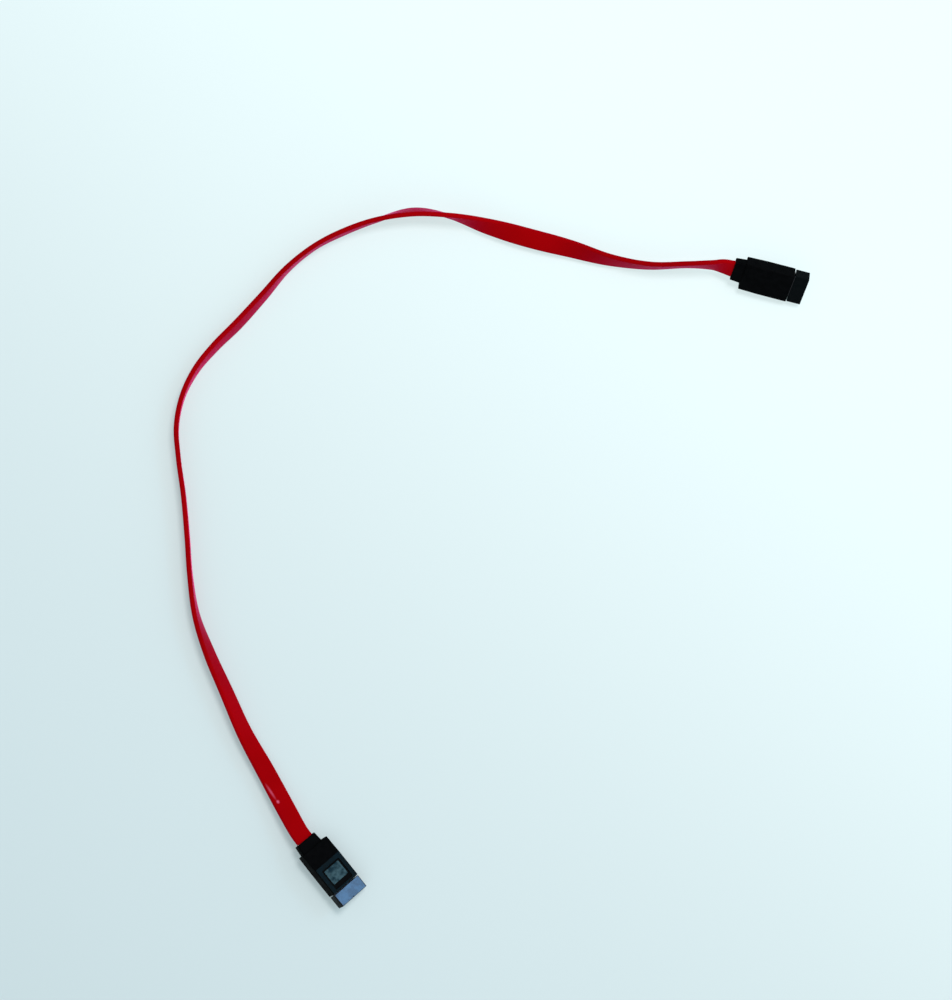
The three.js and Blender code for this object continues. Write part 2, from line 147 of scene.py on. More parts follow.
# Ribbon
RIBBON_WIDTH = 8.0 * MM
RIBBON_THICKNESS = 2.05 * MM
RIBBON_EDGE = 0.9 * MM
RIBBON_STEP = 0.6 * MM
RIBBON_EDGE_STEPS = 7

# The ribbon's middle line, as in the part's own source: x, y, z and the twist in degrees. At 0 the
# ribbon lies flat, and at 90 it stands on edge with its outer edge up.
ROUTE = (
    (-0.10215, -0.10583, 0.00624, 29),
    (-0.1045, -0.1026, 0.00605, 28),
    (-0.1098, -0.0934, 0.005, 21),
    (-0.1182, -0.0782, 0.0035, 30),
    (-0.127, -0.0621, 0.00385, 49),
    (-0.1345, -0.0451, 0.00405, 59),
    (-0.1417, -0.0287, 0.00415, 69),
    (-0.147, -0.0134, 0.00415, 85),
    (-0.1495, 0.003, 0.0041, 93),
    (-0.1507, 0.0196, 0.0041, 94),
    (-0.1522, 0.0361, 0.0041, 95),
    (-0.1543, 0.0515, 0.0041, 96),
    (-0.1551, 0.0647, 0.0041, 95),
    (-0.1525, 0.0772, 0.0041, 92),
    (-0.147, 0.088, 0.00415, 85),
    (-0.1393, 0.0973, 0.00415, 78),
    (-0.1298, 0.1067, 0.00415, 74),
    (-0.1195, 0.118, 0.00415, 78),
    (-0.1091, 0.1299, 0.0042, 86),
    (-0.098, 0.1387, 0.0046, 89),
    (-0.0866, 0.1445, 0.0052, 87),
    (-0.0725, 0.1496, 0.0061, 93),
    (-0.0571, 0.1528, 0.0069, 112),
    (-0.042, 0.1512, 0.0066, 91),
    (-0.0257, 0.1468, 0.0054, 46),
    (-0.0089, 0.1422, 0.0043, 14),
    (0.0076, 0.1379, 0.0047, 37),
    (0.0239, 0.1332, 0.0055, 67),
    (0.0404, 0.1307, 0.0066, 83),
    (0.056, 0.131, 0.0077, 87),
    (0.066, 0.1308, 0.0084, 76),
    (0.07029, 0.13036, 0.00845, 58),
    (0.07416, 0.12937, 0.00831, 46),
)
ROUTE_STEPS = 24
NECK_GRIP = 0.35 * MM

# Receptacle, in millimetres: how each one is turned (roll, pitch, heading in degrees), where the
# middle of its row of contacts lies across it, and where the jacket's end stops inside it
TURN = {"left": (-29, 0, -51.2), "right": (226, 2, -14.3)}
ROW_MIDDLE = -0.75
JACKET_FRONT = 6.2

# Overmould
NECK_LENGTH = 4.4
NECK_REAR = (9.8, 3.85)
NECK_FRONT = (10.6, 4.25)
NECK_CORNER = 0.9
NECK_ROUNDING = 0.25
NECK_FRONT_AT = 5.0
BODY_FRONT = 24.8
BODY_WIDTH = 13.8
BODY_HEIGHT = 6.2
BODY_CORNER = 0.5
BODY_ROUNDING = 0.3
BODY_REAR_DROP = 0.4
FLAT_START = 12.4
CORNER_STEPS = 8
PANEL_SIZE = 9.5
PANEL_FRONT_MARGIN = 1.0
PANEL_DEPTH = 0.4
PANEL_CORNER = 0.35
PANEL_STEPS = 4
PAD_LENGTH = 6.7
PAD_WIDTH = 8.0
PAD_REAR_GAP = 0.7
PAD_SIDE_GAP = 0.6
PANEL_REAR = BODY_FRONT - PANEL_FRONT_MARGIN - PANEL_SIZE
PANEL_MIDDLE = PANEL_REAR + PANEL_SIZE / 2
PAD_MIDDLE = (
    PANEL_REAR + PAD_REAR_GAP + PAD_LENGTH / 2,
    -PANEL_SIZE / 2 + PAD_SIDE_GAP + PAD_WIDTH / 2,
)
CAVITY_BOTTOM = -2.25
CAVITY_TOP = 1.35
CAVITY_WIDTH = 10.32
BOND = 0.02

# Contact housing
NOSE_REAR = 25.1
NOSE_FRONT = 30.9
NOSE_WIDTH = 13.9
NOSE_HEIGHT = 5.1
NOSE_CORNER = 0.45
NOSE_ROUNDING = 0.22
BLOCK_REAR = 13.5
BLOCK_WIDTH = 9.82
BLOCK_BOTTOM = -2.0
BLOCK_TOP = 1.1
SLOT_WIDTH = 10.56
SLOT_FLOOR = -0.45
SLOT_CEILING = 1.07
SLOT_DEPTH = 5.4
KEY_WIDTH = 1.48
KEY_DROP = 1.1
MOUTH_FLARE = 0.22
CHANNEL_FLOOR = -1.65
CHANNEL_WIDTH = 0.8
CHANNEL_TOP = -0.07
CHANNEL_REAR = 20.6
PASSAGE_TOP = -1.19
NOTCH_WIDTH = 0.9
NOTCH_LENGTH = 0.6
NOTCH_DEPTH = 0.45

# Contacts
CONTACT_COUNT = 7
CONTACT_PITCH = 1.27
CONTACT_WIDTH = 0.5
CONTACT_THICKNESS = 0.22
CONTACT_MIDDLE = -1.42
CONTACT_TIP = 30.45
CONTACT_TAPER = 0.07
SPRING_LENGTH = 9.3
SPRING_RISE = 1.16
TIP_LENGTH = 1.0
TAIL_REAR = 11.0
BEAM_SHAPE = ((0, 0), (0.32, 0.14), (0.68, 0.74), (0.86, 1), (1, 0.45))
BEAM_STEPS = 10

# Edges and cuts, in millimetres; steep is how much of a face's normal has to point along an axis for
# the face to count as facing that way
FINE_EDGE = 0.07
MOULDED_EDGE = 0.1
CONTACT_EDGE = 0.04
EDGE_SEGMENTS = 2
ROUNDING_STEPS = 4
SHARP_ANGLE = math.radians(35)
STEEP = 0.7
NEARLY = 0.01
OVERCUT = 1.0


# Camera, table and light


def make_camera():
    """A camera that looks straight down, as a new one does without a turn."""
    data = bpy.data.cameras.new("camera")
    data.sensor_width = SENSOR
    data.lens = SENSOR * FOCAL_PIXELS / PHOTO_HEIGHT
    camera = bpy.data.objects.new("camera", data)
    camera.location = CAMERA_AT
    bpy.context.scene.collection.objects.link(camera)
    bpy.context.scene.camera = camera


def make_table(material):
    """The wide flat surface that the cable lies on, which is no piece of the cable."""
    mesh = bpy.data.meshes.new("table")
    half = TABLE_HALF
    corners = [(-half, -half, 0), (half, -half, 0), (half, half, 0), (-half, half, 0)]
    mesh.from_pydata(corners, [], [(0, 1, 2, 3)])
    mesh.materials.append(material)
    table = bpy.data.objects.new("table", mesh)
    bpy.context.scene.collection.objects.link(table)


def make_lamp(name, at, target, long_side, size, power, colour):
    """A rectangular soft light at a point, facing another, with its long side along a direction."""
    data = bpy.data.lights.new(name, "AREA")
    data.shape = "RECTANGLE"
    data.size, data.size_y = size
    data.energy = power
    data.color = colour
    back = (Vector(at) - Vector(target)).normalized()
    side = Vector(long_side)
    side = (side - side.dot(back) * back).normalized()
    turn = Matrix((side, back.cross(side), back)).transposed()
    lamp = bpy.data.objects.new(name, data)
    lamp.matrix_world = Matrix.Translation(at) @ turn.to_4x4()
    bpy.context.scene.collection.objects.link(lamp)


def feed(tree, socket, value):
    """Gives a socket a number, or the output of another node."""
    if isinstance(value, (int, float)):
        socket.default_value = value
    else:
        tree.links.new(value, socket)


def math_node(tree, operation, first, second):
    """A node that makes one number of two, each a number or another node's output."""
    node = tree.nodes.new("ShaderNodeMath")
    node.operation = operation
    feed(tree, node.inputs[0], first)
    feed(tree, node.inputs[1], second)
    return node.outputs[0]


def reach_along(tree, vector, direction):
    """A node that says how far a vector reaches along a direction."""
    node = tree.nodes.new("ShaderNodeVectorMath")
    node.operation = "DOT_PRODUCT"
    node.inputs[1].default_value = direction
    tree.links.new(vector, node.inputs[0])
    return node.outputs["Value"]


def mix_tones(tree, share, first, second):
    """A node that mixes a tone, or another node's colour, with a second tone."""
    node = tree.nodes.new("ShaderNodeMix")
    node.data_type = "RGBA"
    tree.links.new(share, node.inputs["Factor"])
    if isinstance(first, tuple):
        node.inputs["A"].default_value = (*first, 1)
    else:
        tree.links.new(first, node.inputs["A"])
    node.inputs["B"].default_value = (*second, 1)
    return node.outputs["Result"]


def map_range(tree, value, source, target):
    """A node that carries a value from one range to another, clamped."""
    node = tree.nodes.new("ShaderNodeMapRange")
    node.interpolation_type = "SMOOTHSTEP"
    for name, number in zip(("From Min", "From Max", "To Min", "To Max"), (*source, *target)):
        node.inputs[name].default_value = number
    tree.links.new(value, node.inputs["Value"])
    return node.outputs["Result"]


def make_world():
    """A room that is brighter low down and beyond +X and -Y; the camera sees it plain and pale."""
    world = bpy.data.worlds.new("room")
    bpy.context.scene.world = world
    world.use_nodes = True
    tree = world.node_tree
    nodes, links = tree.nodes, tree.links
    direction = nodes.new("ShaderNodeTexCoord").outputs["Generated"]
    height = nodes.new("ShaderNodeSeparateXYZ")
    links.new(direction, height.inputs[0])
    lowness = map_range(tree, height.outputs["Z"], ROOM_HEIGHTS, (1, ROOM_ZENITH))
    towards = reach_along(tree, direction, ROOM_BRIGHT_SIDE)
    side = map_range(tree, towards, ROOM_SIDES, (ROOM_DARK_SIDE, 1))
    light = math_node(tree, "MULTIPLY", math_node(tree, "MULTIPLY", lowness, side), ROOM_LIGHT)
    seen = nodes.new("ShaderNodeMix")
    seen.inputs["B"].default_value = ROOM_SEEN
    links.new(nodes.new("ShaderNodeLightPath").outputs["Is Camera Ray"], seen.inputs["Factor"])
    links.new(light, seen.inputs["A"])
    background = nodes["Background"]
    background.inputs["Color"].default_value = (*ROOM_COLOUR, 1)
    links.new(seen.outputs["Result"], background.inputs["Strength"])


def make_table_top():
    """Pale sheet: the camera sees a painted slope of light on it, and part of its shadows."""
    material = new_material("table_top", TABLE_COLOUR, TABLE_ROUGHNESS, specular=TABLE_SPECULAR)
    tree = material.node_tree
    nodes, links = tree.nodes, tree.links
    plain = nodes["Principled BSDF"]
    place = nodes.new("ShaderNodeTexCoord").outputs["Object"]
    share = map_range(tree, reach_along(tree, place, TABLE_SLOPE), TABLE_RANGE, (0, 1))
    # For the camera the sheet glows with painted light, dimmer at one end and brighter at the other
    painted_glow = nodes.new("ShaderNodeEmission")
    links.new(mix_tones(tree, share, TABLE_PAINTED_DIM, TABLE_PAINTED_BRIGHT), painted_glow.inputs["Color"])
    shaded = nodes.new("ShaderNodeMixShader")
    links.new(map_range(tree, share, (0, 1), TABLE_SHADE), shaded.inputs["Fac"])
    links.new(painted_glow.outputs[0], shaded.inputs[1])
    links.new(plain.outputs[0], shaded.inputs[2])
    seen = nodes.new("ShaderNodeMixShader")
    links.new(nodes.new("ShaderNodeLightPath").outputs["Is Camera Ray"], seen.inputs["Fac"])
    links.new(plain.outputs[0], seen.inputs[1])
    links.new(shaded.outputs[0], seen.inputs[2])
    links.new(seen.outputs[0], nodes["Material Output"].inputs["Surface"])
    return material


# Small tools for meshes


def add_object(name, mesh):
    """Adds an object that holds a mesh or a curve to the scene."""
    piece = bpy.data.objects.new(name, mesh)
    bpy.context.scene.collection.objects.link(piece)
    return piece


def flatten(piece):
    """Turns what a piece's modifiers make into its plain mesh."""
    evaluated = piece.evaluated_get(bpy.context.evaluated_depsgraph_get())
    mesh = bpy.data.meshes.new_from_object(evaluated)
    piece.modifiers.clear()
    old = piece.data
    name = piece.name
    if piece.type == "CURVE":
        bpy.data.objects.remove(piece)
        piece = add_object(name, mesh)
    else:
        piece.data = mesh
    if old.users == 0:
        bpy.data.batch_remove([old])
    mesh.name = name
    return piece


def rounded_rectangle(width, height, radius, steps=CORNER_STEPS):
    """The outline of a rectangle with round corners about the origin, anticlockwise."""
    points = []
    for quarter, (side_a, side_b) in enumerate(((1, 1), (-1, 1), (-1, -1), (1, -1))):
        centre_a = side_a * (width / 2 - radius)
        centre_b = side_b * (height / 2 - radius)
        for step in range(steps + 1):
            angle = (quarter + step / steps) * math.pi / 2
            points.append((centre_a + radius * math.cos(angle), centre_b + radius * math.sin(angle)))
    return points


def box_outline(left, right, bottom, top):
    """The outline of a plain rectangle, anticlockwise."""
    return [(left, bottom), (right, bottom), (right, top), (left, top)]


def moved(outline, across, up=0):
    """An outline shifted in its own plane."""
    return [(a + across, b + up) for a, b in outline]


# How a place along an axis and the two numbers of an outline's point make a point in space
AXES = {
    "X": lambda along, a, b: (along, a, b),
    "Y": lambda along, a, b: (a, along, b),
    "Z": lambda along, a, b: (a, b, along),
}


def close_rings(mesh, rings):
    """Joins rings of as many corners into a closed solid whose faces point outwards."""
    for rear, front in zip(rings, rings[1:]):
        for near in range(len(rear)):
            following = (near + 1) % len(rear)
            mesh.faces.new((rear[near], rear[following], front[following], front[near]))
    mesh.faces.new(rings[0][::-1])
    mesh.faces.new(rings[-1])
    bmesh.ops.recalc_face_normals(mesh, faces=mesh.faces[:])


def finished_object(name, mesh):
    """Turns a mesh in the making into an object."""
    data = bpy.data.meshes.new(name)
    mesh.to_mesh(data)
    mesh.free()
    return add_object(name, data)


def loft(name, stations, axis="X"):
    """A closed solid through outlines of as many points, each at its place along an axis."""
    mesh = bmesh.new()
    put = AXES[axis]
    rings = [[mesh.verts.new(put(at, a, b)) for a, b in outline] for at, outline in stations]
    close_rings(mesh, rings)
    return finished_object(name, mesh)


def bar(name, outline, start, end, axis="X"):
    """A straight solid of one outline between two places along an axis."""
    return loft(name, [(start, outline), (end, outline)], axis)


def rounded_ends(start, end, radius):
    """Stations of a bar with rounded end edges: each one's place, and how far it is drawn in."""
    quarter = [step / ROUNDING_STEPS * math.pi / 2 for step in range(ROUNDING_STEPS + 1)]
    rear = [(start + radius * (1 - math.sin(a)), radius * (1 - math.cos(a))) for a in quarter[::-1]]
    front = [(end - radius * (1 - math.sin(a)), radius * (1 - math.cos(a))) for a in quarter]
    return rear + front


def combine(piece, other, operation):
    """Joins another solid to a piece or cuts it out, and removes the other one."""
    modifier = piece.modifiers.new("combine", "BOOLEAN")
    modifier.object = other
    modifier.operation = operation
    modifier.solver = "EXACT"
    piece = flatten(piece)
    bpy.data.objects.remove(other)
    return piece


def soften(piece, width, crease=None):
    """Rounds the sharp edges of a piece and shades it smooth between the ones that stay sharp."""
    bevel = piece.modifiers.new("bevel", "BEVEL")
    bevel.width = width
    bevel.segments = EDGE_SEGMENTS
    bevel.limit_method = "ANGLE"
    bevel.angle_limit = SHARP_ANGLE
    bevel.use_clamp_overlap = True
    piece = flatten(piece)
    shade(piece.data, crease)
    weighted = piece.modifiers.new("weighted", "WEIGHTED_NORMAL")
    weighted.keep_sharp = True
    return flatten(piece)


def shade(mesh, crease=None):
    """Smooth faces, with sharp edges past the limit and where the form turns at x = crease."""
    work = bmesh.new()
    work.from_mesh(mesh)
    for face in work.faces:
        face.smooth = True
    for edge in work.edges:
        on_crease = crease is not None and all(abs(v.co.x - crease) < NEARLY for v in edge.verts)
        edge.smooth = edge.calc_face_angle(0.0) < SHARP_ANGLE and not on_crease
    work.to_mesh(mesh)
    work.free()


def tree_socket(tree, name, kind, default=None):
    """Adds a named input to a node tree."""
    socket = tree.interface.new_socket(name, in_out="INPUT", socket_type=kind)
    if default is not None:
        socket.default_value = default


def set_input(modifier, name, value):
    """Sets an input of a node modifier by the identifier of the socket with that name."""
    for item in modifier.node_group.interface.items_tree:
        if item.name == name and item.in_out == "INPUT":
            modifier[item.identifier] = value


def run_tree(piece, tree, **values):
    """Puts a piece through a geometry tree with the given inputs and keeps the plain mesh."""
    modifier = piece.modifiers.new(tree.name, "NODES")
    modifier.node_group = tree
    for name, value in values.items():
        set_input(modifier, name, value)
    return flatten(piece)


# Node trees for what repeats and what follows a path


def start_tree(name, sizes):
    """A geometry tree with a named input for each of its sizes, and its entry node."""
    tree = bpy.data.node_groups.new(name, "GeometryNodeTree")
    tree_socket(tree, "Geometry", "NodeSocketGeometry")
    for title, size in sizes.items():
        kind = "NodeSocketInt" if isinstance(size, int) else "NodeSocketFloat"
        tree_socket(tree, title, kind, size)
    tree_socket(tree, "Material", "NodeSocketMaterial")
    tree.interface.new_socket("Geometry", in_out="OUTPUT", socket_type="NodeSocketGeometry")
    return tree, tree.nodes.new("NodeGroupInput")


def end_tree(tree, entry, geometry):
    """Ends a geometry tree: makes instances real, gives them the material and puts them out."""
    real = tree.nodes.new("GeometryNodeRealizeInstances")
    tree.links.new(geometry, real.inputs["Geometry"])
    finish = tree.nodes.new("GeometryNodeSetMaterial")
    tree.links.new(real.outputs["Geometry"], finish.inputs["Geometry"])
    tree.links.new(entry.outputs["Material"], finish.inputs["Material"])
    leave = tree.nodes.new("NodeGroupOutput")
    tree.links.new(finish.outputs["Geometry"], leave.inputs["Geometry"])
    return tree


def make_row_tree():
    """Repeats a mesh across the receptacle: count copies along Y, a pitch apart, about y = 0."""
    tree, entry = start_tree("row_across", {"Count": CONTACT_COUNT, "Pitch": CONTACT_PITCH})
    nodes, links = tree.nodes, tree.links
    gaps = math_node(tree, "SUBTRACT", entry.outputs["Count"], 1)
    span = math_node(tree, "MULTIPLY", gaps, entry.outputs["Pitch"])
    first = nodes.new("ShaderNodeCombineXYZ")
    links.new(math_node(tree, "MULTIPLY", span, -0.5), first.inputs["Y"])
    step = nodes.new("ShaderNodeCombineXYZ")
    links.new(entry.outputs["Pitch"], step.inputs["Y"])
    line = nodes.new("GeometryNodeMeshLine")
    links.new(entry.outputs["Count"], line.inputs["Count"])
    links.new(first.outputs[0], line.inputs["Start Location"])
    links.new(step.outputs[0], line.inputs["Offset"])

    copies = nodes.new("GeometryNodeInstanceOnPoints")
    links.new(line.outputs["Mesh"], copies.inputs["Points"])
    links.new(entry.outputs["Geometry"], copies.inputs["Instance"])
    return end_tree(tree, entry, copies.outputs["Instances"])


def make_sweep_tree():
    """Sweeps the ribbon's rounded section along a curve and lays out its UV map in metres."""
    sizes = {
        "Width": RIBBON_WIDTH,
        "Thickness": RIBBON_THICKNESS,
        "Edge Radius": RIBBON_EDGE,
        "Edge Steps": RIBBON_EDGE_STEPS,
        "Step": RIBBON_STEP,
    }
    tree, entry = start_tree("ribbon_sweep", sizes)
    nodes, links = tree.nodes, tree.links

    path = nodes.new("GeometryNodeResampleCurve")
    path.mode = "LENGTH"
    links.new(entry.outputs["Geometry"], path.inputs["Curve"])
    links.new(entry.outputs["Step"], path.inputs["Length"])
    outline = nodes.new("GeometryNodeCurvePrimitiveQuadrilateral")
    links.new(entry.outputs["Width"], outline.inputs["Width"])
    links.new(entry.outputs["Thickness"], outline.inputs["Height"])
    section = nodes.new("GeometryNodeFilletCurve")
    section.mode = "POLY"
    links.new(outline.outputs["Curve"], section.inputs["Curve"])
    links.new(entry.outputs["Edge Steps"], section.inputs["Count"])
    links.new(entry.outputs["Edge Radius"], section.inputs["Radius"])

    lengths = []
    for curve in (path, section):
        parameter = nodes.new("GeometryNodeSplineParameter")
        capture = nodes.new("GeometryNodeCaptureAttribute")
        capture.capture_items.new("FLOAT", "length")
        links.new(curve.outputs["Curve"], capture.inputs["Geometry"])
        links.new(parameter.outputs["Length"], capture.inputs["length"])
        lengths.append(capture)
    along, around = lengths

    sweep = nodes.new("GeometryNodeCurveToMesh")
    sweep.inputs["Fill Caps"].default_value = True
    links.new(along.outputs["Geometry"], sweep.inputs["Curve"])
    links.new(around.outputs["Geometry"], sweep.inputs["Profile Curve"])
    place = nodes.new("ShaderNodeCombineXYZ")
    links.new(along.outputs["length"], place.inputs["X"])
    links.new(around.outputs["length"], place.inputs["Y"])
    store = nodes.new("GeometryNodeStoreNamedAttribute")
    store.data_type = "FLOAT2"
    store.domain = "CORNER"
    store.inputs["Name"].default_value = "UVMap"
    links.new(sweep.outputs["Mesh"], store.inputs["Geometry"])
    links.new(place.outputs[0], store.inputs["Value"])
    smooth = nodes.new("GeometryNodeSetShadeSmooth")
    links.new(store.outputs["Geometry"], smooth.inputs["Geometry"])
    return end_tree(tree, entry, smooth.outputs["Geometry"])


# Finishes


def shader_group(name, inputs, outputs):
    """An empty shader group with its named sockets, and its entry and exit nodes."""
    tree = bpy.data.node_groups.new(name, "ShaderNodeTree")
    tree_socket(tree, "Vector", "NodeSocketVector")
    for title in inputs:
        tree_socket(tree, title, "NodeSocketFloat")
    for title in outputs:
        tree.interface.new_socket(title, in_out="OUTPUT", socket_type="NodeSocketFloat")
    return tree, tree.nodes.new("NodeGroupInput"), tree.nodes.new("NodeGroupOutput")


def noise(tree, vector, scale, detail, roughness):
    """A noise node; its scale is a number or another node's output."""
    node = tree.nodes.new("ShaderNodeTexNoise")
    node.inputs["Detail"].default_value = detail
    node.inputs["Roughness"].default_value = roughness
    tree.links.new(vector, node.inputs["Vector"])
    feed(tree, node.inputs["Scale"], scale)
    return node.outputs["Fac"]


def make_moulded_grain():
    """The fine pitted skin of a moulded plastic, and slow clouds where its tone and gloss change."""
    inputs = ("Grain Scale", "Cloud Scale")
    tree, entry, leave = shader_group("moulded_grain", inputs, ("Height", "Cloud"))
    nodes, links = tree.nodes, tree.links
    cells = nodes.new("ShaderNodeTexVoronoi")
    cells.feature = "SMOOTH_F1"
    links.new(entry.outputs["Vector"], cells.inputs["Vector"])
    links.new(entry.outputs["Grain Scale"], cells.inputs["Scale"])
    pits = noise(tree, entry.outputs["Vector"], entry.outputs["Grain Scale"], detail=3, roughness=0.6)
    height = math_node(tree, "ADD", cells.outputs["Distance"], pits)
    clouds = noise(tree, entry.outputs["Vector"], entry.outputs["Cloud Scale"], detail=4, roughness=0.55)
    links.new(height, leave.inputs["Height"])
    links.new(map_range(tree, clouds, CLOUD_RANGE, (0, 1)), leave.inputs["Cloud"])
    return tree


def make_drawn_streaks():
    """Long thin streaks along a drawn or extruded piece, and slow changes along it."""
    inputs = ("Along Scale", "Across Scale")
    tree, entry, leave = shader_group("drawn_streaks", inputs, ("Height", "Cloud"))
    nodes, links = tree.nodes, tree.links
    scales = nodes.new("ShaderNodeCombineXYZ")
    links.new(entry.outputs["Along Scale"], scales.inputs["X"])
    links.new(entry.outputs["Across Scale"], scales.inputs["Y"])
    stretch = nodes.new("ShaderNodeVectorMath")
    stretch.operation = "MULTIPLY"
    links.new(entry.outputs["Vector"], stretch.inputs[0])
    links.new(scales.outputs[0], stretch.inputs[1])
    streaks = noise(tree, stretch.outputs["Vector"], 1.0, detail=2, roughness=0.5)
    links.new(streaks, leave.inputs["Height"])
    clouds = noise(tree, entry.outputs["Vector"], entry.outputs["Along Scale"], detail=3, roughness=0.5)
    links.new(map_range(tree, clouds, STREAK_RANGE, (0, 1)), leave.inputs["Cloud"])
    return tree


def new_material(name, colour, roughness, metallic=0.0, specular=0.5, tint=NO_TINT):
    """A material with its plain numbers set on the shader's own sockets."""
    material = bpy.data.materials.new(name)
    material.use_nodes = True
    shader = material.node_tree.nodes["Principled BSDF"]
    shader.inputs["Base Color"].default_value = (*colour, 1)
    shader.inputs["Roughness"].default_value = roughness
    shader.inputs["Metallic"].default_value = metallic
    shader.inputs["Specular IOR Level"].default_value = specular
    shader.inputs["Specular Tint"].default_value = (*tint, 1)
    return material


def add_skin(material, group, scales, coordinates, tones, roughnesses, relief):
    """Leads a group's clouds into colour and roughness, and its height into a bump of that relief."""
    tree = material.node_tree
    nodes, links = tree.nodes, tree.links
    shader = nodes["Principled BSDF"]
    place = nodes.new("ShaderNodeTexCoord").outputs[coordinates]
    skin = nodes.new("ShaderNodeGroup")
    skin.node_tree = group
    links.new(place, skin.inputs["Vector"])
    for name, scale in scales.items():
        skin.inputs[name].default_value = scale
    links.new(mix_tones(tree, skin.outputs["Cloud"], *tones), shader.inputs["Base Color"])
    links.new(map_range(tree, skin.outputs["Cloud"], (0, 1), roughnesses), shader.inputs["Roughness"])
    bump = nodes.new("ShaderNodeBump")
    bump.inputs["Distance"].default_value = relief
    links.new(skin.outputs["Height"], bump.inputs["Height"])
    links.new(bump.outputs["Normal"], shader.inputs["Normal"])
    return material


def moulded(name, grain, tones, roughnesses, specular, relief, grain_scale, tint=NO_TINT):
    """A moulded plastic or a plain metal with an even grain; relief is in metres."""
    material = new_material(name, tones[0], roughnesses[0], specular=specular, tint=tint)
    scales = {"Grain Scale": grain_scale, "Cloud Scale": CLOUD_SCALE}
    return add_skin(material, grain, scales, "Object", tones, roughnesses, relief)


def drawn(name, streaks, tones, roughnesses, relief, scales, **plain):
    """A drawn or extruded piece's finish, whose streaks have one scale along it and one across."""
    material = new_material(name, tones[0], roughnesses[0], **plain)
    scales = {"Along Scale": scales[0], "Across Scale": scales[1]}
    return add_skin(material, streaks, scales, "UV", tones, roughnesses, relief)


def soft_mark(tree, place, middle, heading, size, strength):
    """A mask that is strongest in the middle of an oval and fades out to its rim."""
    turned = tree.nodes.new("ShaderNodeMapping")
    turned.vector_type = "TEXTURE"
    turned.inputs["Location"].default_value = middle
    turned.inputs["Rotation"].default_value = (0, 0, math.radians(heading))
    turned.inputs["Scale"].default_value = size
    tree.links.new(place, turned.inputs["Vector"])
    reach = tree.nodes.new("ShaderNodeVectorMath")
    reach.operation = "LENGTH"
    tree.links.new(turned.outputs["Vector"], reach.inputs[0])
    return map_range(tree, reach.outputs["Value"], (0, 1), (strength, 0))


def make_jacket(streaks):
    """The ribbon's soft red jacket, which turns towards crimson where it is seen at a low angle."""
    plain = {"specular": 0.006, "tint": CRIMSON}
    jacket = drawn("jacket_red", streaks, JACKET_RED, (0.27, 0.36), 12e-6, (25, 1600), **plain)
    tree = jacket.node_tree
    shader = tree.nodes["Principled BSDF"]
    place = tree.nodes.new("ShaderNodeTexCoord").outputs["Object"]
    colour = shader.inputs["Base Color"]
    # Paints the glint's pale highlight into the jacket's colour
    for glint in PAINTED_GLINTS:
        glinted = mix_tones(tree, soft_mark(tree, place, *glint), colour.links[0].from_socket, GLINT_COLOUR)
        tree.links.new(glinted, colour)
    shader.inputs["Sheen Weight"].default_value = SHEEN_WEIGHT
    shader.inputs["Sheen Roughness"].default_value = SHEEN_ROUGHNESS
    shader.inputs["Sheen Tint"].default_value = (*CRIMSON, 1)
    return jacket


def make_finishes():
    """Every finish by its name.

    A moulded one gives its tones, least and greatest roughness, specular level, relief and grain scale.
    A drawn one gives its tones, roughnesses, relief and the scales of its streaks.
    """
    grain = make_moulded_grain()
    streaks = make_drawn_streaks()
    return {
        "jacket": make_jacket(streaks),
        "jacket_end": moulded("jacket_end_red", grain, END_RED, (0.3, 0.4), 0.2, 4e-6, 1500, CRIMSON),
        "matte": moulded("overmould_matte", grain, BLACK, (0.5, 0.62), 0.01, 9e-6, 4200),
        "satin": moulded("overmould_satin", grain, BLACK, (0.28, 0.36), 0.06, 4e-6, 4200, TEAL),
        "ring": moulded("overmould_groove", grain, BLACK, (0.42, 0.5), 0.02, 6e-6, 4200),
        "pad": moulded("overmould_pad", grain, PAD_TEAL_BLACK, (0.28, 0.36), 0.06, 3e-6, 3000, TEAL),
        "housing": moulded("housing_black", grain, BLACK, (0.09, 0.17), 0.45, 2e-6, 2200, VIOLET),
        "housing_side": moulded("housing_side", grain, BLACK, (0.4, 0.5), 0.03, 4e-6, 4200, TEAL),
        "contact": drawn("contact_gold", streaks, GOLD, (0.2, 0.32), 2e-6, (120, 9000), metallic=1.0),
        "signal_core": moulded("core_white", grain, CORE_WHITE, (0.4, 0.5), 0.4, 3e-6, 1800),
        "ground_wire": moulded("ground_tin", grain, TIN, (0.3, 0.42), 0.5, 2e-6, 6000),
        "termination_cap": moulded("cap_natural", grain, CAP_NATURAL, (0.45, 0.55), 0.4, 4e-6, 2000),
    }


# Ribbon


def spline_value(before, start, end, after, gaps, share):
    """A cubic through start and end whose slopes allow for the uneven gaps between four values."""
    gap_before, gap, gap_after = gaps
    slope_start = (
        (start - before) / gap_before - (end - before) / (gap_before + gap) + (end - start) / gap
    ) * gap
    slope_end = (
        (end - start) / gap - (after - start) / (gap + gap_after) + (after - end) / gap_after
    ) * gap
    bend = -3 * start + 3 * end - 2 * slope_start - slope_end
    turn = 2 * start - 2 * end + slope_start + slope_end
    return start + slope_start * share + bend * share**2 + turn * share**3


def route_points(rows, steps):
    """Points of the smooth route through the rows, each with its twist in radians."""
    places = [Vector(row[:3]) for row in rows]
    twists = [math.radians(row[3]) for row in rows]
    places = [2 * places[0] - places[1]] + places + [2 * places[-1] - places[-2]]
    twists = [2 * twists[0] - twists[1]] + twists + [2 * twists[-1] - twists[-2]]
    points = []
    for at in range(1, len(places) - 2):
        four = places[at - 1 : at + 3]
        # Square roots of the distances keep the route from swinging out between uneven rows
        gaps = [math.sqrt((b - a).length) for a, b in zip(four, four[1:])]
        for step in range(steps):
            share = step / steps
            place = spline_value(*four, gaps, share)
            points.append((place, spline_value(*twists[at - 1 : at + 3], (1, 1, 1), share)))
    points.append((places[-2], twists[-2]))
    return points


